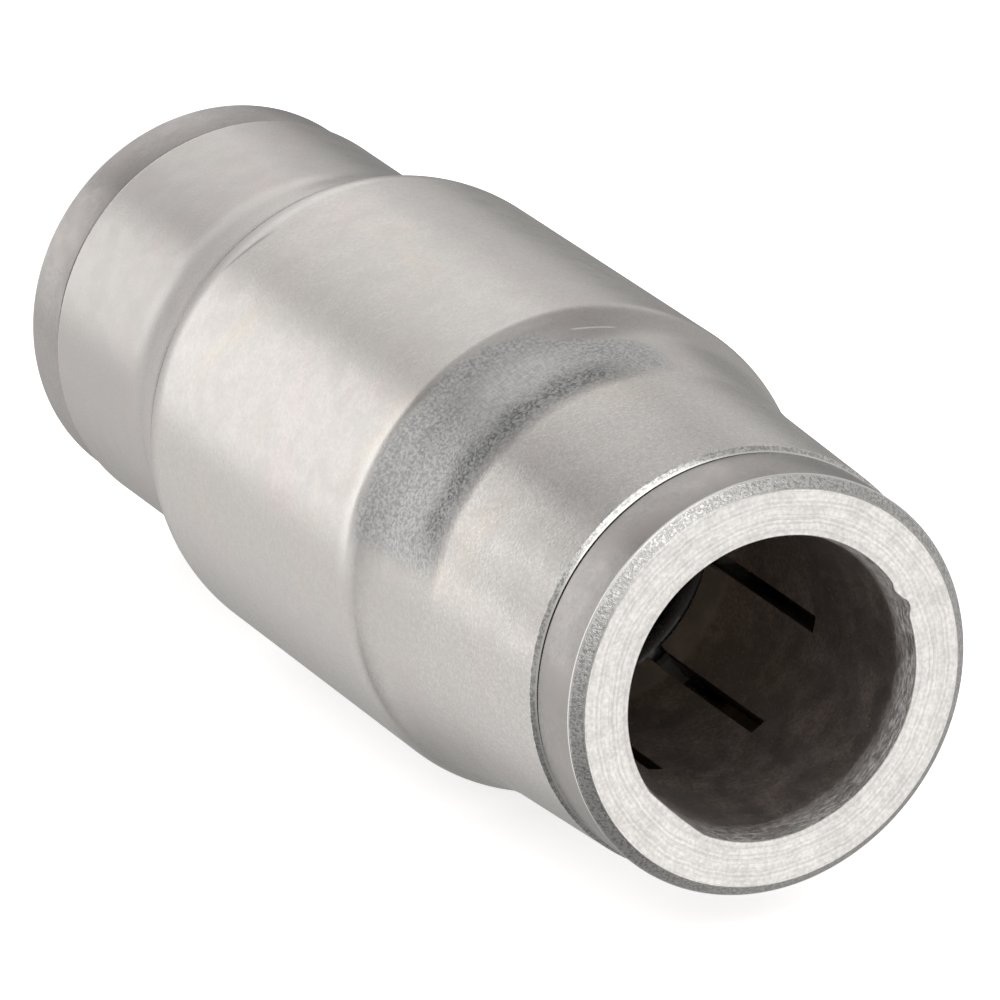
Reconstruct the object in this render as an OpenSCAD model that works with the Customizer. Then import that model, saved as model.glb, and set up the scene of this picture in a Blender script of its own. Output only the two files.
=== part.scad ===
// In-line push-in check valve for round tube.
// The axis of the valve lies along X. The origin is on the axis, midway between the two button
// faces. +X is the inlet end. Inside the modules, shapes are turned about their own Z, and Z is
// the distance from the button face of the end that they belong to.

/* [Outside] */
// Length over both release buttons
overall_l = 43.5; // [43:0.1:46]
// Diameter of the barrel
barrel_d = 17.24; // [17:0.02:18]
// Diameter of both necks at their mouths
neck_d = 14.76; // [14.7:0.02:15]
// Diameter of the inlet neck where it meets its shoulder
inlet_neck_root_d = 15.36; // [15:0.02:15.5]
// Diameter of the outlet neck where it meets its shoulder
outlet_neck_root_d = 14.68; // [14.6:0.02:15]
// Distance from a button face to where the shoulder leaves the neck
shoulder_start = 9.7; // [9.5:0.1:10]
// Slope of the inlet shoulder's cone, in degrees
inlet_cone_slope = 7.5; // [6:0.5:9]
// Slope of the outlet shoulder's cone, in degrees
outlet_cone_slope = 14; // [12:0.5:16]
// Distance from the inlet button face to the joint between body and end fitting
seam_at = 30.4; // [30.2:0.1:30.6]

/* [Collets] */
// Outside diameter of the tube that each end takes
tube_d = 10; // [9.9:0.05:10.05]
// Diameter of the release buttons
button_d = 14.5; // [14:0.1:14.7]
// Thickness of a release button
button_t = 2.62; // [2.2:0.02:2.7]
// Gap between a button and the neck behind it
button_gap = 0.1; // [0.1:0.02:0.3]
// Chamfer round the button's outer edge, across its face
button_chamfer = 0.41; // [0.2:0.01:0.6]
// Outside diameter of the collet's sleeve
sleeve_d = 11.7; // [11.5:0.05:11.75]
// Diameter over the finger heads
head_d = 12.7; // [12.5:0.05:12.8]
// Distance from the button face to the finger ends
finger_end = 13.9; // [13.6:0.05:14]
// Distance from the button face to the blind ends of the slits
slit_start = 6.6; // [5:0.1:8]
// Width of the slits
slit_w = 0.6; // [0.3:0.05:0.7]
// Number of fingers
finger_count = 8; // [6:1:10]
// Turn of the inlet collet's first slit about the axis, from +Z towards +Y
slit_turn = 9.8; // [0:0.1:45]
// How far the teeth stand in from the collet's bore
tooth_h = 0.285; // [0.1:0.005:0.3]

/* [Sealing] */
// Diameter of the bore that holds the retaining ring and the tube seal
seal_bore_d = 13.6; // [13.5:0.02:13.7]
// Section diameter of the tube seal
seal_section_d = 1.9; // [1.8:0.02:1.94]
// Distance from the button face to the inner wall of the tube seal's seat
seal_seat_end = 16.6; // [16.5:0.05:16.7]
// Distance from the button face to the stop that a pushed-in tube meets
tube_stop = 17.6; // [17.4:0.05:17.7]

/* [Check valve] */
// Diameter of the waterway through both tube stops
waterway_d = 8; // [7:0.1:8.2]
// Diameter of the chamber round the poppet
chamber_d = 14.8; // [14.6:0.05:14.85]
// Width across the conical seat, from its small to its large radius
seat_w = 1; // [0.9:0.05:1.1]
// Diameter of the poppet's head
poppet_head_d = 10.6; // [10.2:0.1:11]
// Section diameter of the poppet's seal
poppet_seal_section_d = 1.4; // [1.3:0.05:1.45]
// Diameter of the poppet's stem
stem_d = 2.4; // [2:0.1:2.4]
// Wire diameter of the poppet's spring
spring_wire_d = 0.4; // [0.3:0.05:0.45]
// Mean diameter of the poppet's spring
spring_d = 4.4; // [4.2:0.1:4.5]
// Turns of the poppet's spring
spring_turns = 5; // [4:1:5]
// Number of arms on the poppet's guide
guide_arm_count = 3; // [3:1:4]

/* [Hidden] */
$fn = 96;

nickel = [0.74, 0.72, 0.69];
brass = [0.80, 0.66, 0.36];
rubber = [0.06, 0.06, 0.06];
steel = [0.62, 0.63, 0.65];
acetal = [0.90, 0.89, 0.85];

// Outside
half_l = overall_l / 2;
barrel_r = barrel_d / 2;
neck_r = neck_d / 2;
mouth = button_t + button_gap;
mouth_edge_r = neck_r - 0.16;
mouth_edge_l = 0.18;
inlet_cone_end = 12.6;
inlet_steepest = 25;
inlet_round_r = 1.8;
outlet_cone_end = 11.9;
outlet_steepest = 29;
outlet_round_r = 3.4;
seam_groove_w = 0.3;
seam_groove_h = 0.45;

// Collets
bore_clearance = 0.075;
collet_bore_r = tube_d / 2 + bore_clearance;
lead_in_r = collet_bore_r + 0.185;
lead_in_l = 1;
button_chamfer_l = 0.37;
button_back_chamfer = 0.08;
tooth_l = 1.1;
head_l = 1.35;
head_slope_l = 0.88;
head_edge = 0.12;

// Retaining rings: their ramp stands this far outside the sleeve and meets the finger heads
ring_clearance = 0.08;
ring_start = mouth + 0.2;
ramp_start = 10.1;
ramp_end = 11.1;
ramp_large_r = 6.5;
ring_end = 11.4;
ring_chamfer = 0.15;
bore_chamfer = 0.2;

// Sealing
seal_bore_r = seal_bore_d / 2;
washer_start = 14.15;
washer_t = 0.4;
washer_bore_r = 5.6;
washer_clearance = 0.03;
seal_r = seal_section_d / 2;
seal_clearance = 0.02;
seal_mean_r = seal_bore_r - seal_clearance - seal_r;
seal_at = seal_seat_end - seal_clearance - seal_r;
socket_r = tube_d / 2 + 0.1;

// Chamber, seat and the joint between the body and the end fitting
waterway_r = waterway_d / 2;
chamber_r = chamber_d / 2;
seat_start = 18.3;
seat_end = seat_start + seat_w;
outlet_stop = overall_l - tube_stop;
nose_start = outlet_stop - 0.8;
nose_r = chamber_r - 0.05;
groove_start = nose_start + 0.35;
groove_end = groove_start + 1.1;
groove_floor_r = 6.5;
body_seal_r = 0.44;
body_seal_mean_r = chamber_r - 0.01 - body_seal_r;
thread_r = 7.9;
thread_pitch = 0.75;
thread_depth = 0.46;
thread_clearance = 0.04;
female_start = nose_start + 1.9;
male_start = nose_start + 2.2;
male_turns = 3;
relief_r = thread_r - thread_depth - 0.08;

// Poppet, shut
contact_gap = 0.02;
poppet_seal_r = poppet_seal_section_d / 2;
poppet_seal_mean_r = 4.2;
poppet_seal_at = seat_start + poppet_seal_mean_r - waterway_r
    + sqrt(2) * (poppet_seal_r + contact_gap);
poppet_groove_r = poppet_seal_mean_r - poppet_seal_r - contact_gap;
poppet_nose_start = poppet_seal_at - poppet_seal_r - 0.8;
poppet_nose_r = waterway_r - 0.1;
poppet_nose_tip_r = poppet_nose_r - 0.5;
poppet_groove_start = poppet_seal_at - poppet_seal_r - contact_gap;
poppet_groove_end = poppet_seal_at + poppet_seal_r + contact_gap;
poppet_head_r = poppet_head_d / 2;
poppet_head_end = poppet_groove_end + 0.8;
head_back_slope = 0.3;
cup_r = spring_d / 2 + spring_wire_d / 2 + 0.2;
cup_start = 19.3;
stem_r = stem_d / 2;
stem_end = 25.4;
stem_tip = 0.3;

// Guide and spring
guide_t = 1;
guide_start = nose_start - guide_t;
guide_r = chamber_r - 0.1;
guide_rim_r = 6.2;
hub_r = 2.6;
hub_l = 1.5;
stem_clearance = 0.05;
arm_w = 1.4;
spring_gap = 0.02;
spring_start = cup_start + spring_wire_d / 2 + spring_gap;
spring_stop = guide_start - spring_wire_d / 2 - spring_gap;
spring_steps = 20;
wire_sides = 8;

// Puts a shape in the valve's frame, with its Z running inwards from the inlet button face.
module from_inlet() {
    translate([half_l, 0, 0]) rotate([0, -90, 0]) children();
}

// The same from the outlet button face: the mirror image of an inlet piece.
module from_outlet() {
    mirror([1, 0, 0]) from_inlet() children();
}

// A rectangle in a turned section, from radius r0 to r1 and from z0 to z1.
module band(r0, r1, z0, z1) {
    translate([r0, z0]) square([r1 - r0, z1 - z0]);
}

// Section of one shoulder. A cone leaves the neck at one slope, a hollow arc takes it up to its
// steepest slope, and a round arc brings it back to level on the barrel.
module shoulder_section(root_r, cone_slope, cone_end, steepest, round_r) {
    cone_end_r = root_r + (cone_end - shoulder_start) * tan(cone_slope);
    hollow_r = (barrel_r - cone_end_r - round_r * (1 - cos(steepest)))
        / (cos(cone_slope) - cos(steepest));
    hollow_z = cone_end - hollow_r * sin(cone_slope);
    hollow_y = cone_end_r + hollow_r * cos(cone_slope);
    turn_z = hollow_z + hollow_r * sin(steepest);
    turn_r = hollow_y - hollow_r * cos(steepest);
    end_z = turn_z + round_r * sin(steepest);
    polygon([[0, shoulder_start], [root_r, shoulder_start], [cone_end_r, cone_end],
             [0, cone_end]]);
    difference() {
        polygon([[0, cone_end], [cone_end_r, cone_end], [turn_r, turn_z], [0, turn_z]]);
        translate([hollow_y, hollow_z]) circle(r = hollow_r, $fn = 720);
    }
    intersection() {
        band(0, barrel_r, turn_z, end_z);
        translate([barrel_r - round_r, end_z]) circle(r = round_r, $fn = 360);
    }
    band(0, barrel_r - round_r, turn_z, end_z);
    band(0, barrel_r, end_z, half_l + 1);
}

// Solid section of the mouth edge and the neck of one end.
module neck_section(root_r) {
    polygon([[0, mouth], [mouth_edge_r, mouth], [neck_r, mouth + mouth_edge_l],
             [root_r, shoulder_start], [0, shoulder_start]]);
}

// Solid sections of the outside, from each end to 1 mm past the middle of the barrel, where they
// overlap.
module inlet_outside_section() {
    neck_section(inlet_neck_root_d / 2);
    shoulder_section(inlet_neck_root_d / 2, inlet_cone_slope, inlet_cone_end, inlet_steepest,
                     inlet_round_r);
}

module outlet_outside_section() {
    neck_section(outlet_neck_root_d / 2);
    shoulder_section(outlet_neck_root_d / 2, outlet_cone_slope, outlet_cone_end, outlet_steepest,
                     outlet_round_r);
}

// The bores of one end that hold the collet, the ring and the tube seal, and the tube itself.
module port_section() {
    band(0, seal_bore_r, mouth - 1, seal_seat_end);
    polygon([[0, mouth - 1], [seal_bore_r + bore_chamfer, mouth - 1],
             [seal_bore_r + bore_chamfer, mouth], [seal_bore_r, mouth + bore_chamfer],
             [0, mouth + bore_chamfer]]);
    band(0, socket_r, mouth, tube_stop);
    band(0, waterway_r, mouth, half_l);
}

// Section of the thread: one ridge for each turn, from root_r out to crest_r.
module thread_section(root_r, crest_r, start, turns) {
    for (turn = [0 : turns - 1])
        translate([0, start + turn * thread_pitch])
            polygon([[root_r - 0.5, 0], [root_r, 0], [crest_r, 0.42 * thread_pitch],
                     [crest_r, 0.58 * thread_pitch], [root_r, thread_pitch],
                     [root_r - 0.5, thread_pitch]]);
}

// Barrel and inlet neck in one piece, with the seat, the chamber and the female thread.
module valve_body() {
    color(nickel) from_inlet() rotate_extrude() difference() {
        union() {
            inlet_outside_section();
            intersection() {
                translate([0, overall_l]) mirror([0, 1]) outlet_outside_section();
                band(0, barrel_r, half_l, seam_at);
            }
        }
        port_section();
        polygon([[0, seat_start], [waterway_r, seat_start], [waterway_r + seat_w, seat_end],
                 [0, seat_end]]);
        band(0, chamber_r, seat_end, seam_at + 1);
        band(0, thread_r - thread_depth + thread_clearance, female_start, seam_at + 1);
        thread_section(thread_r - thread_depth + thread_clearance, thread_r + thread_clearance,
                       male_start, male_turns);
        band(0, thread_r + thread_clearance, male_start + male_turns * thread_pitch,
             seam_at + 1);
    }
}

// Outlet neck, screwed into the barrel. Its nose carries the body seal and backs the guide.
module end_fitting() {
    color(nickel) from_inlet() rotate_extrude() difference() {
        union() {
            intersection() {
                translate([0, overall_l]) mirror([0, 1]) outlet_outside_section();
                band(0, barrel_r, seam_at, overall_l);
            }
            band(0, nose_r, nose_start, male_start);
            band(0, relief_r, male_start, seam_at);
            thread_section(relief_r, thread_r - thread_clearance, male_start, male_turns);
        }
        translate([0, overall_l]) mirror([0, 1]) port_section();
        band(groove_floor_r, nose_r + 1, groove_start, groove_end);
        band(0, waterway_r, nose_start - 1, half_l + 5);
        polygon([[barrel_r, seam_at], [barrel_r - seam_groove_h, seam_at],
                 [barrel_r, seam_at + seam_groove_w]]);
    }
}

// Seal between the barrel and the end fitting's nose.
module body_seal() {
    color(rubber) from_inlet() rotate_extrude()
        translate([body_seal_mean_r, (groove_start + groove_end) / 2]) circle(r = body_seal_r);
}

// Section of a collet: button, sleeve and toothed finger heads.
module collet_section() {
    button_r = button_d / 2;
    sleeve_r = sleeve_d / 2;
    head_r = head_d / 2;
    head_start = finger_end - head_l;
    polygon([[lead_in_r, 0], [button_r - button_chamfer, 0], [button_r, button_chamfer_l],
             [button_r, button_t - button_back_chamfer],
             [button_r - button_back_chamfer, button_t], [sleeve_r, button_t],
             [sleeve_r, head_start - head_slope_l], [head_r, head_start],
             [head_r, finger_end - head_edge], [head_r - head_edge, finger_end],
             [collet_bore_r - tooth_h, finger_end], [collet_bore_r, finger_end - tooth_l],
             [collet_bore_r, lead_in_l]]);
}

// One collet: release button, sleeve and spring fingers in one turned and slit piece.
module collet() {
    difference() {
        rotate_extrude() collet_section();
        for (finger = [0 : finger_count - 1])
            rotate([0, 0, slit_turn + finger * 360 / finger_count])
                translate([0, -slit_w / 2, slit_start])
                    cube([head_d, slit_w, finger_end]);
    }
}

module front_collet() {
    color(nickel) from_inlet() collet();
}

module rear_collet() {
    color(nickel) from_outlet() collet();
}

// Ring pressed into a neck. Its ramp drives the finger heads onto the tube.
module retaining_ring() {
    bore_r = sleeve_d / 2 + ring_clearance;
    rotate_extrude()
        polygon([[bore_r + ring_chamfer, ring_start], [seal_bore_r - ring_chamfer, ring_start],
                 [seal_bore_r, ring_start + ring_chamfer], [seal_bore_r, ring_end],
                 [ramp_large_r, ring_end], [ramp_large_r, ramp_end], [bore_r, ramp_start],
                 [bore_r, ring_start + ring_chamfer]]);
}

module front_retaining_ring() {
    color(brass) from_inlet() retaining_ring();
}

module rear_retaining_ring() {
    color(brass) from_outlet() retaining_ring();
}

// Thin washer between the finger ends and the tube seal.
module seal_washer() {
    rotate_extrude()
        band(washer_bore_r, seal_bore_r - washer_clearance, washer_start, washer_start + washer_t);
}

module front_seal_washer() {
    color(acetal) from_inlet() seal_washer();
}

module rear_seal_washer() {
    color(acetal) from_outlet() seal_washer();
}

// Seal that grips the tube.
module tube_seal() {
    rotate_extrude() translate([seal_mean_r, seal_at]) circle(r = seal_r);
}

module front_tube_seal() {
    color(rubber) from_inlet() tube_seal();
}

module rear_tube_seal() {
    color(rubber) from_outlet() tube_seal();
}

// Poppet, drawn shut: nose, grooved head, spring cup and guided stem.
module poppet() {
    color(brass) from_inlet() rotate_extrude()
        polygon([[0, poppet_nose_start], [poppet_nose_tip_r, poppet_nose_start],
                 [poppet_nose_r, poppet_groove_start - 0.2],
                 [poppet_nose_r, poppet_groove_start], [poppet_groove_r, poppet_groove_start],
                 [poppet_groove_r, poppet_groove_end], [poppet_head_r, poppet_groove_end],
                 [poppet_head_r, poppet_head_end - head_back_slope],
                 [poppet_head_r - head_back_slope, poppet_head_end], [cup_r, poppet_head_end],
                 [cup_r, cup_start], [stem_r, cup_start], [stem_r, stem_end - stem_tip],
                 [stem_r - stem_tip, stem_end], [0, stem_end]]);
}

// Seal on the poppet. It meets the conical seat when the valve is shut.
module poppet_seal() {
    color(rubber) from_inlet() rotate_extrude()
        translate([poppet_seal_mean_r, poppet_seal_at]) circle(r = poppet_seal_r);
}

// Height of the spring's wire at a given turn, counted from the poppet's end. Half a turn lies
// flat at each end.
function spring_height(turn) =
    let (flat = 0.5, run = max(0, min(1, (turn - flat) / (spring_turns - 2 * flat))))
    spring_start + run * (spring_stop - spring_start);

// One ring of points round the wire.
function wire_ring(turn) =
    [for (side = [0 : wire_sides - 1])
        let (a = 360 * side / wire_sides,
             r = spring_d / 2 + spring_wire_d / 2 * cos(a),
             z = spring_height(turn) + spring_wire_d / 2 * sin(a))
        [r * cos(360 * turn), r * sin(360 * turn), z]];

// Spring between the poppet's cup and the guide.
module poppet_spring() {
    ring_count = spring_turns * spring_steps;
    points = [for (k = [0 : ring_count]) each wire_ring(k / spring_steps)];
    sides = [for (k = [0 : ring_count - 1], side = [0 : wire_sides - 1])
        let (next = (side + 1) % wire_sides)
        [k * wire_sides + side, k * wire_sides + next,
         (k + 1) * wire_sides + next, (k + 1) * wire_sides + side]];
    first_end = [for (side = [wire_sides - 1 : -1 : 0]) side];
    last_end = [for (side = [0 : wire_sides - 1]) ring_count * wire_sides + side];
    color(steel) from_inlet()
        polyhedron(points = points, faces = concat([first_end, last_end], sides));
}

// Guide on the end fitting's nose: a rim, arms with the flow between them, and a bored hub.
module poppet_guide() {
    color(acetal) from_inlet() difference() {
        union() {
            translate([0, 0, guide_start]) rotate_extrude()
                band(guide_rim_r, guide_r, 0, guide_t);
            for (arm = [0 : guide_arm_count - 1])
                rotate([0, 0, arm * 360 / guide_arm_count])
                    translate([0, -arm_w / 2, guide_start])
                        cube([guide_rim_r + 0.3, arm_w, guide_t]);
            translate([0, 0, guide_start]) cylinder(r = hub_r, h = hub_l);
        }
        translate([0, 0, guide_start - 1]) cylinder(r = stem_r + stem_clearance, h = hub_l + 2);
    }
}

valve_body();
end_fitting();
body_seal();
front_collet();
rear_collet();
front_retaining_ring();
rear_retaining_ring();
front_seal_washer();
rear_seal_washer();
front_tube_seal();
rear_tube_seal();
poppet();
poppet_seal();
poppet_spring();
poppet_guide();
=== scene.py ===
import math

import bpy
from mathutils import Matrix, Vector


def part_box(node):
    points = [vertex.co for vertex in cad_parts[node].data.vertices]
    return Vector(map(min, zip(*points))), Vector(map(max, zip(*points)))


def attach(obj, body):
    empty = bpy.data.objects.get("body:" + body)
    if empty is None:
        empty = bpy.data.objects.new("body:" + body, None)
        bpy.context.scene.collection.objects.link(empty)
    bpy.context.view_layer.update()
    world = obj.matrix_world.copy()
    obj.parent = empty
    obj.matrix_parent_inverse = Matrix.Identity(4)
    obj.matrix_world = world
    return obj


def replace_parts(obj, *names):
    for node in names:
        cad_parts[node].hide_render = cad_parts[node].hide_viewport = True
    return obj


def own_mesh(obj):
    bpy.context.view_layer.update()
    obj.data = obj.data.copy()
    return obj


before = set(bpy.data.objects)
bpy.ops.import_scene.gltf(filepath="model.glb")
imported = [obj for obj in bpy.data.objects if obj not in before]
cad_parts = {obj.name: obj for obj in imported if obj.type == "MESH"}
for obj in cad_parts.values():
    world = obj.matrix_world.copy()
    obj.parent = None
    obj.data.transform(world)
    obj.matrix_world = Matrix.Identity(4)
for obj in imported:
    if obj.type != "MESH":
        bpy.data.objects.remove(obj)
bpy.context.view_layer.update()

MM = 0.001
TURNS = 256                  # faces round a turned piece
CORNER_STEPS = 5             # points on a rounded corner
ARC_STEPS = 30               # points on each arc of a shoulder
SHARP_DEG = 28               # edges bent by more than this are shaded sharp

# ---------------------------------------------------------------- sizes, from the frame


def round_size(node):
    """Radius in millimetres of the largest round shape about the axis that fits a node's box."""
    low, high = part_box(node)
    return min(high.y, high.z, -low.y, -low.z) / MM


BODY_LO, BODY_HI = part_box("valve_body")
COLLET_LO, COLLET_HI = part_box("front_collet")
SPRING_LO, SPRING_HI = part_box("poppet_spring")

FACE_X = COLLET_HI.x / MM                # button face, from the middle of the valve
BUTTON_R = round_size("front_collet")
BARREL_R = round_size("valve_body")
SEAL_BORE_R = round_size("front_retaining_ring")
MOUTH = FACE_X - BODY_HI.x / MM          # distances from here on run inwards from a button face
SEAM = FACE_X - BODY_LO.x / MM
FINGER_END = FACE_X - COLLET_LO.x / MM

# Sizes inside the pieces, in millimetres, as the CAD has them
BUTTON_T = 2.62
NECK_R = 7.38
MOUTH_EDGE_R = 7.22
MOUTH_EDGE_END = MOUTH + 0.18
SHOULDER_START = 9.7
# Shoulders: neck radius, slope and end of the cone, steepest slope, radius of the round arc
INLET_SHOULDER = (7.68, 7.5, 12.6, 25, 1.8)
OUTLET_SHOULDER = (7.34, 14, 11.9, 29, 3.4)
COLLET_BORE_R = 5.075
LEAD_IN_R = 5.26
SLEEVE_R = 5.85
HEAD_R = 6.35
TOOTH_R = 4.79
SLIT_START = 6.6
SLIT_W = 0.6
FINGERS = 8
SLIT_TURN = 9.8
# Chips in the front edge of the inlet's bore: degrees from +Z towards +Y, half width in degrees,
# and depth, which is negative for a burr
EDGE_CHIPS = [(67, 4, 0.16), (59, 3, -0.08), (-137, 15, -0.13)]
SEAL_SEAT_END = 16.6
SOCKET_R = 5.1
TUBE_STOP = 17.6
WATERWAY_R = 4.0
SEAT_START = 18.3
SEAT_END = 19.3
SEAT_R = 5.0
CHAMBER_R = 7.4
THREAD_START = 27.0
THREAD_CREST_R = 7.48
THREAD_ROOT_R = 7.94
RELIEF_R = 7.36
NOSE_START = 25.1
NOSE_R = 7.35
RELIEF_W = 0.85              # of the thread, beside the seam
SEAM_GROOVE_W = 0.3
SEAM_GROOVE_H = 0.45
SPRING_TURNS = 5.6
SPRING_FLAT = 0.9            # turns that lie closed at each end
SPRING_WIRE_R = 0.2


# ---------------------------------------------------------------- mesh tools

def mesh_object(name, vertices, faces, sharp_deg=SHARP_DEG):
    mesh = bpy.data.meshes.new(name)
    mesh.from_pydata([tuple(v) for v in vertices], [], faces)
    mesh.validate()
    for polygon in mesh.polygons:
        polygon.use_smooth = True
    mesh.set_sharp_from_angle(angle=math.radians(sharp_deg))
    obj = bpy.data.objects.new(name, mesh)
    bpy.context.scene.collection.objects.link(obj)
    return obj


def rounded(corners):
    """Outline points from corners (distance, radius, rounding), where 0 keeps the corner sharp."""
    out = []
    count = len(corners)
    for i, (s, r, rounding) in enumerate(corners):
        here = Vector((s, r))
        before = Vector(corners[i - 1][:2]) - here
        after = Vector(corners[(i + 1) % count][:2]) - here
        if rounding <= 0 or before.length < 1e-6 or after.length < 1e-6:
            out.append((s, r))
            continue
        half_angle = before.angle(after) / 2
        if half_angle > math.radians(89.5):
            out.append((s, r))
            continue
        reach = min(rounding / math.tan(half_angle), before.length * 0.49, after.length * 0.49)
        radius = reach * math.tan(half_angle)
        middle = (before.normalized() + after.normalized()).normalized()
        centre = here + middle * (radius / math.sin(half_angle))
        start = here + before.normalized() * reach - centre
        end = here + after.normalized() * reach - centre
        sweep = start.angle_signed(end)
        for k in range(CORNER_STEPS + 1):
            turned = start.copy()
            turned.rotate(Matrix.Rotation(-sweep * k / CORNER_STEPS, 2))
            out.append(tuple(centre + turned))
    return out


def turned(name, outline, side):
    """A solid turned about the valve's axis from a closed outline of (distance, radius), side +1
    for the inlet end and -1 for the outlet end."""
    vertices, faces = [], []
    count = len(outline)
    for t in range(TURNS):
        angle = 2 * math.pi * t / TURNS
        for s, r in outline:
            vertices.append(((FACE_X - s) * side * MM, r * math.sin(angle) * MM,
                             r * math.cos(angle) * MM))
    for t in range(TURNS):
        a, b = t * count, (t + 1) % TURNS * count
        for i in range(count):
            j = (i + 1) % count
            face = (a + i, a + j, b + j, b + i)
            faces.append(face if side > 0 else face[::-1])
    return mesh_object(name, vertices, faces)


def arc(centre, radius, start, stop):
    """Corners along an arc of a turned outline, between two slopes in degrees. The centre lies
    outside the metal for a hollow arc, with a positive radius, and inside for a round one."""
    out = []
    for k in range(ARC_STEPS + 1):
        slope = math.radians(start + (stop - start) * k / ARC_STEPS)
        out.append((centre[0] + radius * math.sin(slope), centre[1] - radius * math.cos(slope), 0))
    return out


def shoulder(root_r, cone_slope, cone_end, steepest, round_r):
    """Corners of one shoulder from its neck to the barrel: a cone, a hollow arc, a round arc."""
    slope, steep = math.radians(cone_slope), math.radians(steepest)
    cone_end_r = root_r + (cone_end - SHOULDER_START) * math.tan(slope)
    left = BARREL_R - cone_end_r - round_r * (1 - math.cos(steep))
    hollow_r = left / (math.cos(slope) - math.cos(steep))
    hollow = (cone_end - hollow_r * math.sin(slope), cone_end_r + hollow_r * math.cos(slope))
    turn = hollow[0] + hollow_r * math.sin(steep)
    crest = (turn + round_r * math.sin(steep), BARREL_R - round_r)
    return ([(SHOULDER_START, root_r, 6)] + arc(hollow, hollow_r, cone_slope, steepest)
            + arc(crest, -round_r, steepest, 0)[1:])


def mouth_corners():
    return [(MOUTH, SEAL_BORE_R + 0.2, 0.03), (MOUTH, MOUTH_EDGE_R, 0.04),
            (MOUTH_EDGE_END, NECK_R, 0.06)]


def port_corners():
    """The stepped bore of one port, from its inner end out to the mouth."""
    return [(TUBE_STOP, WATERWAY_R, 0.03), (TUBE_STOP, SOCKET_R, 0.03),
            (SEAL_SEAT_END, SOCKET_R, 0.08), (SEAL_SEAT_END, SEAL_BORE_R, 0.1),
            (MOUTH + 0.2, SEAL_BORE_R, 0)]


# ---------------------------------------------------------------- replacement pieces

def make_valve_body():
    """Barrel and inlet neck. Its far edge lies part of the way down the outlet's shoulder."""
    far = [(2 * FACE_X - s, r, 0) for s, r, _ in reversed(shoulder(*OUTLET_SHOULDER))]
    far = [corner for corner in far if corner[0] < SEAM - 0.1]
    corners = mouth_corners() + shoulder(*INLET_SHOULDER) + far
    corners += [(SEAM, far[-1][1] - 0.05, 0.06), (SEAM, THREAD_ROOT_R, 0.03),
                (SEAM - RELIEF_W, THREAD_ROOT_R, 0.03), (SEAM - RELIEF_W, THREAD_CREST_R, 0.03),
                (THREAD_START, THREAD_CREST_R, 0.03), (THREAD_START, CHAMBER_R, 0.03),
                (SEAT_END, CHAMBER_R, 0.1), (SEAT_END, SEAT_R, 0.03),
                (SEAT_START, WATERWAY_R, 0.03)]
    body = turned("valve_body_shell", rounded((corners + port_corners())[::-1]), 1)
    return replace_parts(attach(body, "valve"), "valve_body")


def make_end_fitting():
    """Outlet neck, its flange at the seam and its nose, drawn from the outlet's button face."""
    seam, nose = 2 * FACE_X - SEAM, 2 * FACE_X - NOSE_START
    near = [c for c in shoulder(*OUTLET_SHOULDER) if c[0] < seam - SEAM_GROOVE_W * 0.7]
    corners = mouth_corners() + near
    corners += [(seam, BARREL_R - SEAM_GROOVE_H, 0.04), (seam, RELIEF_R, 0.03),
                (seam + RELIEF_W, RELIEF_R, 0), (seam + 1.3, THREAD_CREST_R - 0.03, 0),
                (nose - 2.2, THREAD_CREST_R - 0.03, 0), (nose - 2.2, NOSE_R, 0),
                (nose - 1.45, NOSE_R, 0.05), (nose - 1.45, 6.5, 0.1), (nose - 0.35, 6.5, 0.1),
                (nose - 0.35, NOSE_R, 0.05), (nose, NOSE_R, 0.05), (nose, WATERWAY_R, 0.05)]
    fitting = turned("end_fitting_shell", rounded((corners + port_corners())[::-1]), -1)
    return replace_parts(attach(fitting, "valve"), "end_fitting")


def chip_edge(collet):
    """Shifts the front edge of the inlet collet's lead-in: a bite at one place, burrs at two."""
    for vertex in collet.data.vertices:
        x, y, z = vertex.co / MM
        radius = math.hypot(y, z)
        if FACE_X - abs(x) > 0.06 or radius > LEAD_IN_R + 0.1:
            continue
        angle = math.degrees(math.atan2(y, z))
        shift = 0
        for middle, half_width, depth in EDGE_CHIPS:
            shift += depth * max(0, 1 - ((angle - middle) / half_width) ** 2)
        vertex.co.yz = vertex.co.yz * (1 + shift / radius)


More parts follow.
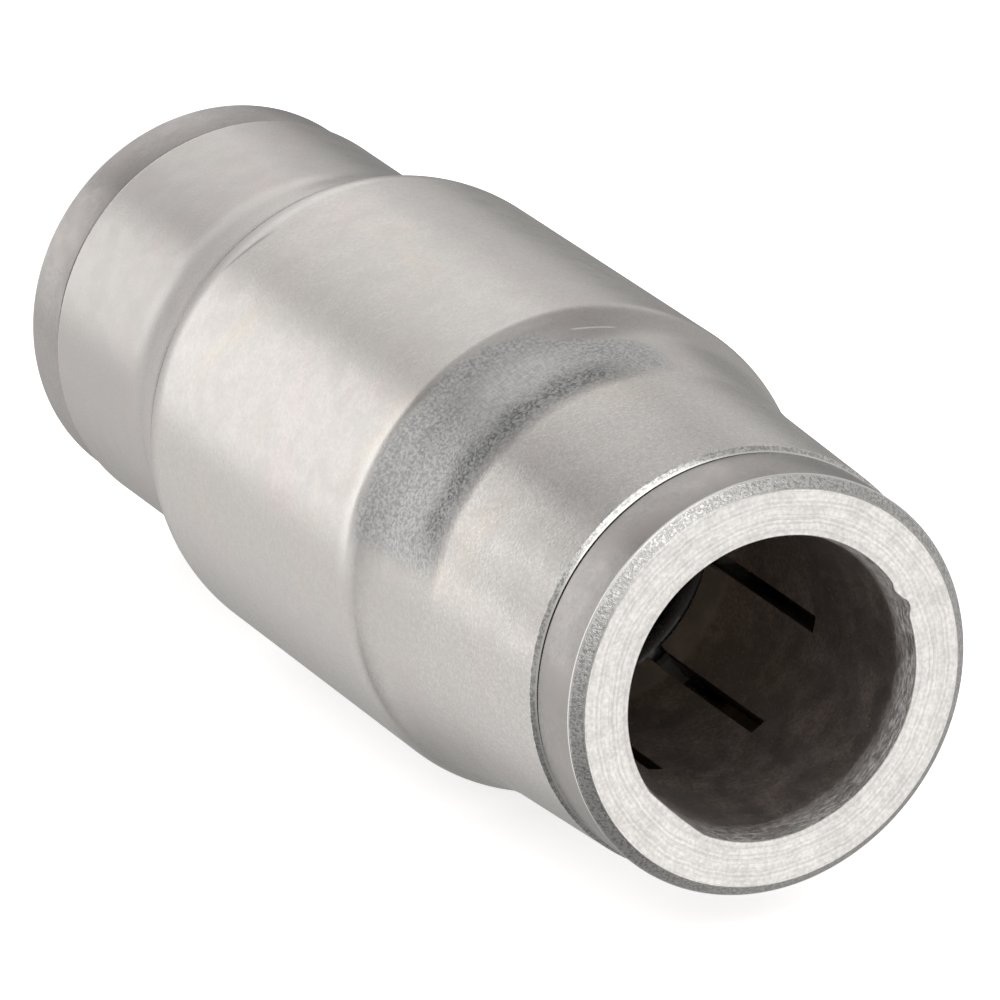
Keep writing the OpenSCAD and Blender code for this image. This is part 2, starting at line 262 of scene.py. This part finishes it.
def make_collet(name, node, side):
    corners = [(0, LEAD_IN_R, 0.05), (0, BUTTON_R - 0.41, 0.05), (0.37, BUTTON_R, 0.06),
               (BUTTON_T, BUTTON_R, 0.07), (BUTTON_T, SLEEVE_R, 0.15),
               (FINGER_END - 2.23, SLEEVE_R, 0.1), (FINGER_END - 1.35, HEAD_R, 0.08),
               (FINGER_END, HEAD_R, 0.1), (FINGER_END, TOOTH_R, 0.03),
               (FINGER_END - 1.1, COLLET_BORE_R, 0.05), (1, COLLET_BORE_R, 0.3)]
    collet = turned(name, rounded(corners[::-1]), side)
    if side > 0:
        chip_edge(collet)
    slit_faces, slit_vertices = [], []
    box = [(0, 1, 3, 2), (4, 6, 7, 5), (0, 4, 5, 1), (2, 3, 7, 6), (0, 2, 6, 4), (1, 5, 7, 3)]
    for finger in range(FINGERS):
        angle = math.radians(SLIT_TURN + finger * 360 / FINGERS)
        out = Vector((0, math.sin(angle), math.cos(angle)))
        across = Vector((0, math.cos(angle), -math.sin(angle)))
        first = len(slit_vertices)
        for s in (SLIT_START, FINGER_END + 1):
            for r in (3.5, 8.0):
                for w in (-SLIT_W / 2, SLIT_W / 2):
                    place = Vector(((FACE_X - s) * side, 0, 0)) + out * r + across * w
                    slit_vertices.append(place * MM)
        slit_faces += [tuple(first + i for i in face) for face in box]
    cutter = mesh_object(name + "_slits", slit_vertices, slit_faces)
    cut = collet.modifiers.new("slits", "BOOLEAN")
    cut.operation, cut.solver, cut.object = "DIFFERENCE", "EXACT", cutter
    bpy.context.view_layer.update()
    evaluated = collet.evaluated_get(bpy.context.evaluated_depsgraph_get())
    finished = bpy.data.meshes.new_from_object(evaluated)
    finished.set_sharp_from_angle(angle=math.radians(SHARP_DEG))
    collet.modifiers.clear()
    collet.data = finished
    bpy.data.objects.remove(cutter)
    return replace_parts(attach(collet, node), node)


def make_spring():
    """Coil spring with closed, flat ends, as a tube swept along its helix."""
    turns, flat, wire_r, sides, steps = SPRING_TURNS, SPRING_FLAT, SPRING_WIRE_R, 14, 56
    coil_r = SPRING_HI.z / MM - wire_r
    start, stop = SPRING_HI.x / MM - wire_r, SPRING_LO.x / MM + wire_r
    count = int(turns * steps)
    vertices, faces = [], []
    for k in range(count + 1):
        turn = k / steps
        run = min(1, max(0, (turn - flat) / (turns - 2 * flat)))
        closed = min(turn, flat) / flat + min(turns - turn, flat) / flat - 1
        x = start + (stop - start) * run - wire_r * 0.5 * (1 - closed) * (1 if turn < flat else -1)
        angle = 2 * math.pi * turn
        out = Vector((0, math.sin(angle), math.cos(angle)))
        for j in range(sides):
            a = 2 * math.pi * j / sides
            place = out * (coil_r + wire_r * math.cos(a)) + Vector((x + wire_r * math.sin(a), 0, 0))
            vertices.append(place * MM)
    for k in range(count):
        for j in range(sides):
            n = (j + 1) % sides
            faces.append((k * sides + j, k * sides + n, (k + 1) * sides + n, (k + 1) * sides + j))
    faces += [tuple(range(sides))[::-1], tuple(count * sides + j for j in range(sides))]
    spring = mesh_object("poppet_spring_coil", vertices, faces, 50)
    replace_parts(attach(spring, "valve"), "poppet_spring")
    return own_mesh(spring)


# ---------------------------------------------------------------- materials

def add_node(tree, kind, inputs=(), **settings):
    """A node in a tree, with each input linked to a socket or set to a value."""
    node = tree.nodes.new(kind)
    for key, value in settings.items():
        setattr(node, key, value)
    for socket, value in dict(inputs).items():
        if isinstance(value, bpy.types.NodeSocket):
            tree.links.new(value, node.inputs[socket])
        else:
            node.inputs[socket].default_value = value
    return node


class Nodes:
    """Short calls for building a material's node tree."""

    def __init__(self, name):
        self.material = bpy.data.materials.new(name)
        self.material.use_nodes = True
        self.tree = self.material.node_tree
        self.shader = self.tree.nodes["Principled BSDF"]

    def add(self, kind, inputs=(), **settings):
        return add_node(self.tree, kind, inputs, **settings)

    def math(self, operation, a, b=0.0, clamp=False):
        node = self.add("ShaderNodeMath", {0: a, 1: b}, operation=operation, use_clamp=clamp)
        return node.outputs[0]

    def ramp(self, value, low, high, to_low=0.0, to_high=1.0):
        node = self.add("ShaderNodeMapRange", {0: value, 1: low, 2: high, 3: to_low, 4: to_high},
                        interpolation_type="SMOOTHSTEP")
        return node.outputs[0]

    def band(self, value, low, high, fade):
        """1 between low and high, 0 outside, with soft edges."""
        rise = self.ramp(value, low - fade, low + fade)
        return self.math("MULTIPLY", rise, self.ramp(value, high + fade, high - fade))

    def both(self, *masks):
        out = masks[0]
        for mask in masks[1:]:
            out = self.math("MULTIPLY", out, mask)
        return out

    def place(self):
        """Object coordinates in millimetres."""
        coordinates = self.add("ShaderNodeTexCoord").outputs["Object"]
        node = self.add("ShaderNodeVectorMath", {0: coordinates, 1: (1 / MM,) * 3},
                        operation="MULTIPLY")
        return node.outputs[0]

    def cylinder(self, place):
        """Distance from the inlet's button face, the same from the nearer face, degrees round the
        axis from +Z towards +Y, and radius, for a place in millimetres."""
        x, y, z = self.add("ShaderNodeSeparateXYZ", {0: place}).outputs
        along = self.math("SUBTRACT", FACE_X, x)
        nearer = self.math("SUBTRACT", FACE_X, self.math("ABSOLUTE", x))
        angle = self.math("DEGREES", self.math("ARCTAN2", y, z))
        flat = self.add("ShaderNodeVectorMath", {0: place, 1: (0, 1, 1)}, operation="MULTIPLY")
        radius = self.add("ShaderNodeVectorMath", {0: flat.outputs[0]}, operation="LENGTH")
        return along, nearer, angle, radius.outputs["Value"]

    def vector(self, x, y, z=0.0):
        return self.add("ShaderNodeCombineXYZ", {0: x, 1: y, 2: z}).outputs[0]

    def stretched(self, place, scale):
        node = self.add("ShaderNodeVectorMath", {0: place, 1: scale}, operation="MULTIPLY")
        return node.outputs[0]

    def noise(self, vector, scale, detail=3.0, roughness=0.55, distortion=0.0):
        node = self.add("ShaderNodeTexNoise", {"Vector": vector, "Scale": scale, "Detail": detail,
                                               "Roughness": roughness, "Distortion": distortion})
        return node.outputs["Fac"]

    def mix(self, factor, a, b):
        node = self.add("ShaderNodeMix", {0: factor}, data_type="RGBA")
        for socket, value in ((6, a), (7, b)):
            if isinstance(value, bpy.types.NodeSocket):
                self.tree.links.new(value, node.inputs[socket])
            else:
                node.inputs[socket].default_value = (*value, 1)
        return node.outputs[2]

    def bump(self, height, strength, distance_mm, normal=None):
        inputs = {"Height": height, "Strength": strength, "Distance": distance_mm * MM}
        if normal:
            inputs["Normal"] = normal
        return self.add("ShaderNodeBump", inputs).outputs[0]

    def finish(self, colour, roughness, normal, **constants):
        shader = self.shader.inputs
        for key, value in (("Base Color", colour), ("Roughness", roughness), ("Normal", normal)):
            self.tree.links.new(value, shader[key])
        for key, value in constants.items():
            shader[key.replace("_", " ")].default_value = value
        return self.material


def nickel_body():
    """Satin nickel plate with fine grain and faint stains, scuffed over painted shade and painted
    highlights on the inlet's shoulder, with a painted highlight along the edge of each mouth and
    painted shade in the bores."""
    n = Nodes("nickel_body")
    place = n.place()
    along, nearer, angle, radius = n.cylinder(place)
    grain = n.noise(place, 6.0, 2.0, 0.6)
    pink = n.ramp(n.noise(place, 0.32, 3.0), 0.5, 0.7, 0.0, 0.8)
    yellow = n.ramp(n.noise(n.stretched(place, (1, -1, -1)), 0.27, 3.0), 0.54, 0.72, 0.0, 0.7)
    colour = n.mix(pink, (0.625, 0.606, 0.59), (0.645, 0.595, 0.585))
    colour = n.mix(yellow, colour, (0.66, 0.61, 0.55))
    colour = n.mix(n.ramp(grain, 0.3, 0.7, 0.0, 0.35), colour, (0.50, 0.485, 0.47))
    worn = n.math("MULTIPLY", n.noise(place, 8.0, 3.0, 0.8), n.ramp(along, 16.0, 9.0, 0.35, 1.0))
    colour = n.mix(n.ramp(worn, 0.42, 0.66, 0.0, 0.55), colour, (0.80, 0.785, 0.77))

    # A painted highlight along the edge where the shoulder meets the barrel, and an area of painted
    # shade on the inlet's shoulder
    rim_highlight = n.both(n.band(along, 14.0, 14.9, 0.4), n.band(angle, -86, -46, 6))
    colour = n.mix(n.math("MULTIPLY", rim_highlight, 0.35), colour, (0.92, 0.90, 0.88))
    cloud = n.ramp(n.noise(place, 0.6, 3.0), 0.35, 0.6, 0.45, 1.0)
    shade = n.both(n.band(angle, 27, 34, 14), n.band(along, 10.6, 11.8, 2.6), cloud)
    colour = n.mix(n.math("MULTIPLY", shade, 0.9), colour, (0.29, 0.30, 0.305))

    # The outlet's neck, duller, with two darker marks at its root
    dull = n.ramp(along, 31.5, 35.0, 0.0, 0.85)
    colour = n.mix(dull, colour, n.mix(pink, (0.47, 0.455, 0.445), (0.50, 0.455, 0.445)))
    dark_root_patches = n.math("MAXIMUM", n.band(angle, -74, -54, 8), n.band(angle, -20, -2, 8))
    dark_root_patches = n.both(dark_root_patches, n.band(along, 32.2, 33.0, 1.4), cloud)
    colour = n.mix(n.math("MULTIPLY", dark_root_patches, 0.7), colour, (0.32, 0.305, 0.295))

    # The crescent on the inlet's shoulder: painted shade, scuffed and rubbed, lighter and hatched
    # in the middle, darker and speckled at its root
    wobble = n.math("MULTIPLY", n.math("SUBTRACT", n.noise(place, 0.9, 2.0), 0.5), 0.8)
    uneven = n.math("ADD", along, wobble)
    arc = n.math("MULTIPLY", angle, BARREL_R * math.pi / 180)
    outer = n.math("ADD", uneven, n.ramp(angle, -28, 14, 0.0, 2.2))
    shade_and_scuff = n.both(n.band(angle, -77, 11, 4), n.ramp(uneven, 9.6, 10.6), n.ramp(outer, 14.5, 14.0))
    lengthways = n.noise(n.vector(n.math("MULTIPLY", along, 0.1), arc), 16.0, 1.0)
    crossways = n.noise(n.vector(along, n.math("MULTIPLY", arc, 0.1)), 16.0, 1.0)
    crossed = n.math("MULTIPLY", lengthways, crossways)
    middle = n.both(n.band(angle, -36, -12, 8), n.band(uneven, 11.6, 13.2, 0.7))
    rubbed = n.ramp(n.noise(place, 8.5, 2.0, 0.7), 0.32, 0.68)
    hatch = n.add("ShaderNodeMix", {0: n.math("MULTIPLY", middle, 0.7), 2: rubbed,
                                    3: n.ramp(crossed, 0.17, 0.34)}).outputs[0]
    scuff_and_shade_colour = n.mix(hatch, (0.42, 0.423, 0.43), (0.69, 0.69, 0.69))
    scuff_and_shade_colour = n.mix(n.math("MULTIPLY", middle, 0.25), scuff_and_shade_colour, (0.85, 0.85, 0.85))
    colour = n.mix(shade_and_scuff, colour, scuff_and_shade_colour)
    root = n.both(n.band(uneven, 10.0, 11.1, 0.5), n.band(angle, -70, -3, 7))
    speckle = n.ramp(n.noise(place, 8.0, 3.0, 0.75), 0.38, 0.62)
    colour = n.mix(n.math("MULTIPLY", root, 0.9), colour,
                   n.mix(speckle, (0.15, 0.15, 0.155), (0.47, 0.47, 0.475)))

    # A painted highlight along a thin streak, and a thin line of painted shade
    slanted = n.math("ADD", along, n.math("MULTIPLY", angle, 0.02))
    streak_highlight = n.both(n.band(slanted, 13.36, 13.43, 0.03), n.band(angle, -4, 6, 1))
    colour = n.mix(streak_highlight, colour, (1.0, 1.0, 1.0))
    slanted = n.math("ADD", along, n.math("MULTIPLY", angle, 0.03))
    crease_shade = n.both(n.band(slanted, 28.1, 28.25, 0.08), n.band(angle, -43, -31, 3))
    colour = n.mix(n.math("MULTIPLY", crease_shade, 0.6), colour, (0.2, 0.2, 0.2))

    # Painted shade in the bores, and the lip of each mouth with a painted highlight along its edge
    bore_shade = n.ramp(radius, SEAL_BORE_R + 0.1, SEAL_BORE_R + 0.05)
    colour = n.mix(bore_shade, colour, n.mix(grain, (0.18, 0.16, 0.14), (0.10, 0.09, 0.08)))
    at_mouth = n.ramp(radius, MOUTH_EDGE_R - 0.17, MOUTH_EDGE_R - 0.07)
    lip = n.both(n.ramp(nearer, MOUTH_EDGE_END + 0.06, MOUTH_EDGE_END), at_mouth)
    colour = n.mix(lip, colour, n.mix(speckle, (0.50, 0.50, 0.49), (0.92, 0.91, 0.89)))
    edge = n.both(n.ramp(nearer, MOUTH + 0.06, MOUTH + 0.03), at_mouth)
    colour = n.mix(edge, colour, (1.0, 0.99, 0.97))

    rough = n.ramp(n.noise(place, 1.1, 4.0), 0.3, 0.7, 0.25, 0.30)
    rough = n.math("ADD", rough, n.math("MULTIPLY", shade_and_scuff, 0.06))
    dents = n.bump(n.noise(place, 0.5, 1.0), 0.25, 0.05)
    normal = n.bump(n.noise(place, 9.0, 2.0, 0.6), 0.4, 0.01, dents)
    normal = n.bump(n.math("MULTIPLY", hatch, shade_and_scuff), 0.5, 0.012, normal)
    return n.finish(colour, rough, normal, Metallic=1.0)


def nickel_collet():
    """Nickel plate on the collets: a turned face, a rough chamfer with a painted highlight along
    its edge, a smooth darker band, and a dull bore with painted shade on the walls of its slits."""
    n = Nodes("nickel_collet")
    place = n.place()
    _, nearer, _, radius = n.cylinder(place)
    grain = n.noise(place, 7.0, 2.0, 0.6)
    speckle = n.ramp(n.noise(place, 9.0, 3.0, 0.75), 0.36, 0.64)
    band = n.mix(n.ramp(grain, 0.3, 0.7), (0.405, 0.388, 0.380), (0.360, 0.347, 0.338))
    band = n.mix(n.ramp(n.noise(place, 0.45, 2.0), 0.5, 0.65), band, (0.40, 0.375, 0.37))

    # Turned face: uneven grooves about the axis, and short dark lines
    wander = n.math("MULTIPLY", n.noise(place, 0.45, 2.0), 0.35)
    across = n.math("ADD", radius, wander)
    grooves = n.noise(n.vector(across, 0.0), 6.0, 4.0, 0.7)
    loose = n.math("MULTIPLY", n.noise(place, 2.2, 3.0), 0.10)
    lines = n.ramp(n.noise(n.vector(n.math("ADD", across, loose), 5.0), 5.0, 2.0), 0.42, 0.36)
    lines = n.both(lines, n.ramp(n.noise(place, 0.8, 3.0, 0.7), 0.42, 0.55))
    turned_face = n.mix(n.ramp(grain, 0.35, 0.65), (0.84, 0.83, 0.815), (0.70, 0.685, 0.665))
    turned_face = n.mix(n.ramp(grooves, 0.40, 0.54), n.mix(0.35, turned_face, (0.38, 0.365, 0.35)),
                        turned_face)
    turned_face = n.mix(n.math("MULTIPLY", lines, 0.8), turned_face, (0.25, 0.24, 0.23))

    # Chamfer, bore, finger tips and the lead-in of the bore
    chamfer = n.mix(speckle, (0.50, 0.495, 0.49), (0.88, 0.87, 0.86))
    bore = n.mix(n.ramp(n.noise(place, 0.5, 2.0), 0.4, 0.6), (0.56, 0.52, 0.50), (0.84, 0.74, 0.69))
    bore = n.mix(n.ramp(grain, 0.3, 0.7, 0.0, 0.7), bore, (0.48, 0.445, 0.43))
    bore = n.mix(n.ramp(n.noise(place, 9.0, 3.0, 0.8), 0.60, 0.68), bore, (0.90, 0.86, 0.82))
    tip = n.ramp(nearer, FINGER_END - 1.5, FINGER_END - 1.1)
    bore = n.mix(tip, bore, (0.85, 0.77, 0.72))
    mouth_lines = n.noise(n.stretched(place, (14, 3, 3)), 1.0, 3.0, 0.7)
    mouth = n.mix(n.ramp(mouth_lines, 0.4, 0.65), (0.50, 0.49, 0.48), (0.72, 0.71, 0.70))

    # Each part of the surface where it belongs
    inside = n.ramp(radius, 5.45, 5.35)
    on_face = n.ramp(nearer, 0.04, 0.02)
    colour = n.mix(on_face, n.mix(n.ramp(nearer, 0.46, 0.40), band, chamfer), turned_face)
    # painted highlight along the outer edge of the chamfer
    edge = n.both(n.band(nearer, 0.33, 0.42, 0.03), n.ramp(radius, 7.1, 7.2))
    colour = n.mix(edge, colour, (0.97, 0.96, 0.95))
    patchy = n.ramp(n.noise(place, 1.3, 3.0), 0.35, 0.5, 0.5, 1.0)
    lead_in = n.both(n.ramp(nearer, 1.3, 0.4), patchy)
    bore = n.mix(lead_in, bore, mouth)
    # painted shade on the walls of the slits
    slit_wall_shade = n.both(n.ramp(nearer, SLIT_START - 0.1, SLIT_START),
                       n.ramp(radius, COLLET_BORE_R + 0.03, COLLET_BORE_R + 0.06))
    bore = n.mix(slit_wall_shade, bore, (0.22, 0.20, 0.18))
    in_bore = n.both(inside, n.ramp(nearer, 0.02, 0.04))
    colour = n.mix(in_bore, colour, bore)
    deep = n.ramp(nearer, BUTTON_T + 0.02, BUTTON_T + 0.1)
    colour = n.mix(deep, colour, bore)

    rough = n.ramp(n.noise(place, 1.4, 4.0), 0.3, 0.7, 0.26, 0.34)
    relief = n.math("ADD", n.math("MULTIPLY", grooves, on_face),
                    n.math("MULTIPLY", speckle, n.band(nearer, 0.05, 0.34, 0.01)))
    normal = n.bump(relief, 0.5, 0.02, n.bump(grain, 0.2, 0.01))
    rough = n.math("ADD", rough, n.math("MULTIPLY", on_face, 0.1))
    rough = n.math("ADD", rough, n.math("MULTIPLY", in_bore, 0.2))
    metal = n.math("SUBTRACT", 1.0, n.both(in_bore, lead_in,
                                           n.ramp(mouth_lines, 0.35, 0.65, 0.1, 0.5)))
    n.tree.links.new(metal, n.shader.inputs["Metallic"])
    return n.finish(colour, rough, normal)


def plain_metal(name, light, dark, rough_low, rough_high):
    """Turned bare metal: marks run round the axis."""
    n = Nodes(name)
    place = n.place()
    marks = n.noise(n.stretched(place, (1, 0.05, 0.05)), 9.0, 3.0)
    colour = n.mix(n.ramp(marks, 0.3, 0.7), light, dark)
    rough = n.ramp(n.noise(place, 2.0, 3.0), 0.3, 0.7, rough_low, rough_high)
    return n.finish(colour, rough, n.bump(marks, 0.3, 0.01), Metallic=1.0)


def black_rubber():
    n = Nodes("black_rubber")
    place = n.place()
    dust = n.noise(place, 6.0, 4.0)
    colour = n.mix(n.ramp(dust, 0.5, 0.8), (0.008, 0.008, 0.009), (0.025, 0.025, 0.025))
    rough = n.ramp(n.noise(place, 3.0, 3.0), 0.3, 0.7, 0.18, 0.32)
    return n.finish(colour, rough, n.bump(dust, 0.15, 0.01), Specular_IOR_Level=0.5)


def white_acetal():
    """Moulded acetal, clean on the guide and darkened with painted shade on the washers behind the
    fingers.
    """
    n = Nodes("white_acetal")
    place = n.place()
    _, nearer, _, _ = n.cylinder(place)
    cloud = n.noise(place, 1.5, 3.0)
    colour = n.mix(cloud, (0.80, 0.79, 0.75), (0.72, 0.71, 0.66))
    # painted shade on the washers deep behind the fingers
    washer_shade = n.ramp(nearer, SEAL_SEAT_END, SEAL_SEAT_END - 0.2, 0.0, 0.85)
    colour = n.mix(washer_shade, colour, (0.09, 0.08, 0.065))
    rough = n.ramp(cloud, 0.3, 0.7, 0.35, 0.5)
    return n.finish(colour, rough, n.bump(n.noise(place, 12.0), 0.15, 0.01))


def paint(obj, material):
    obj.data.materials.clear()
    obj.data.materials.append(material)


# ---------------------------------------------------------------- camera, floor and light

# Camera as solved from the ellipses of both ends of the valve in the photo
CAMERA_AZIMUTH, CAMERA_ELEVATION = 63.86, 20.2
CAMERA_DISTANCE = 345.67                 # millimetres from the aim
CAMERA_AIM = (-5.81, -7.02, 5.77)        # from the middle of the inlet's button face
SENSOR_WIDTH, FOCAL_LENGTH = 36, 383.2


def toward(azimuth, elevation):
    """Unit vector from the valve to a place at an azimuth, 0 at -Y and 90 at +X, and elevation."""
    a, e = math.radians(azimuth), math.radians(elevation)
    return Vector((math.sin(a) * math.cos(e), -math.cos(a) * math.cos(e), math.sin(e)))


def make_camera():
    camera = bpy.data.objects.new("camera", bpy.data.cameras.new("camera"))
    bpy.context.scene.collection.objects.link(camera)
    aim = Vector((COLLET_HI.x, 0, 0)) + Vector(CAMERA_AIM) * MM
    back = toward(CAMERA_AZIMUTH, CAMERA_ELEVATION)
    camera.location = aim + back * CAMERA_DISTANCE * MM
    camera.rotation_mode = "QUATERNION"
    camera.rotation_quaternion = (-back).to_track_quat("-Z", "Y")
    camera.data.sensor_width = SENSOR_WIDTH
    camera.data.lens = FOCAL_LENGTH
    camera.data.clip_start, camera.data.clip_end = 0.01, 20
    bpy.context.scene.camera = camera


def make_floor():
    reach, z = FLOOR_HALF, BODY_LO.z
    corners = [(-reach, -reach, z), (reach, -reach, z), (reach, reach, z), (-reach, reach, z)]
    floor = mesh_object("floor", corners, [(0, 1, 2, 3)])
    n = Nodes("floor")
    cloud = n.noise(n.place(), 0.01, 2.0)
    colour = n.mix(cloud, (0.93, 0.93, 0.93), (0.95, 0.95, 0.95))
    rough = n.ramp(cloud, 0.3, 0.7, 0.85, 0.95)
    n.finish(colour, rough, n.bump(cloud, 0.05, 0.01), Specular_IOR_Level=0.0,
             Emission_Color=(1, 1, 1, 1), Emission_Strength=FLOOR_GLOW)
    paint(floor, n.material)
    floor.visible_glossy = False


# Softboxes and flags of the studio that the metal mirrors, each painted over those before it:
# azimuth, elevation, half widths in degrees of the full part and of the fade, and level
STUDIO = [
    (-95, 15, 10, 30, 1.2),      # low softbox behind, its far half
    (-170, 10, 25, 50, 0.5),     # dark side, right
    (-85, -10, 15, 35, 0.6),     # under the softbox
    (-45, -20, 10, 50, 0.9),     # floor, left
    (-55, 10, 15, 25, 1.5),      # low softbox, its near half
    (-40, 30, 10, 20, 0.2),      # flag above it
    (-20, 30, 10, 25, 0.9),      # front left
    (70, 45, 20, 40, 1.5),       # large box over the front
    (115, -20, 15, 30, 1.4),     # floor, front right
    (30, -60, 25, 45, 0.2),      # dark floor under the valve
    (-40, 5, 5, 15, 0.5),        # gap between softbox and floor
    (-85, 60, 10, 25, 0.6),      # ceiling behind
    (-120, -5, 5, 15, 0.3),      # flag behind, on the right
    (-125, 20, 5, 15, 0.7),      # wall over it
]
STUDIO_BASE = 0.4            # level between the patches
FILL = 1.1                   # level that everything but a mirror ray meets
LIGHT_TINT = (1.0, 0.985, 0.965, 1)
FLOOR_GLOW = 0.6
FLOOR_HALF = 4.0             # metres


def make_world():
    world = bpy.data.worlds.new("studio")
    bpy.context.scene.world = world
    world.use_nodes = True
    tree = world.node_tree
    tree.nodes.clear()

    direction = add_node(tree, "ShaderNodeTexCoord").outputs["Generated"]
    level = STUDIO_BASE
    for azimuth, elevation, full, fade, strength in STUDIO:
        cosine = add_node(tree, "ShaderNodeVectorMath",
                          {0: direction, 1: toward(azimuth, elevation)},
                          operation="DOT_PRODUCT").outputs["Value"]
        share = add_node(tree, "ShaderNodeMapRange",
                         {0: cosine, 1: math.cos(math.radians(fade)),
                          2: math.cos(math.radians(full))},
                         interpolation_type="SMOOTHSTEP").outputs[0]
        level = add_node(tree, "ShaderNodeMix", {0: share, 2: level, 3: strength}).outputs[0]
    ray = add_node(tree, "ShaderNodeLightPath")
    seen = add_node(tree, "ShaderNodeMix",
                    {0: ray.outputs["Is Glossy Ray"], 2: FILL, 3: level}).outputs[0]
    background = add_node(tree, "ShaderNodeBackground", {"Color": LIGHT_TINT, "Strength": seen})
    add_node(tree, "ShaderNodeOutputWorld", {"Surface": background.outputs[0]})


# ---------------------------------------------------------------- the scene

make_camera()
make_floor()
make_world()
bpy.context.scene.view_settings.view_transform = "Standard"

BODY = nickel_body()
COLLET = nickel_collet()
# brass kept far darker than its own colour: painted shade on the rings and poppet inside the valve
SHADED_BRASS = plain_metal("plain_brass", (0.24, 0.19, 0.12), (0.16, 0.13, 0.08), 0.4, 0.55)
STEEL = plain_metal("spring_steel", (0.55, 0.55, 0.56), (0.42, 0.42, 0.43), 0.2, 0.35)
RUBBER = black_rubber()
ACETAL = white_acetal()

made = [
    (make_valve_body(), BODY, "nickel_body"),
    (make_end_fitting(), BODY, "nickel_body"),
    (make_collet("front_collet_turned", "front_collet", 1), COLLET, "nickel_collet"),
    (make_collet("rear_collet_turned", "rear_collet", -1), COLLET, "nickel_collet"),
    (make_spring(), STEEL, "spring_steel"),
]
for piece, material, slot in made:
    paint(piece, material)

kept = {
    SHADED_BRASS: ("front_retaining_ring", "rear_retaining_ring", "poppet"),
    RUBBER: ("body_seal", "front_tube_seal", "rear_tube_seal", "poppet_seal"),
    ACETAL: ("front_seal_washer", "rear_seal_washer", "poppet_guide"),
}
for material, names in kept.items():
    for name in names:
        paint(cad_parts[name], material)
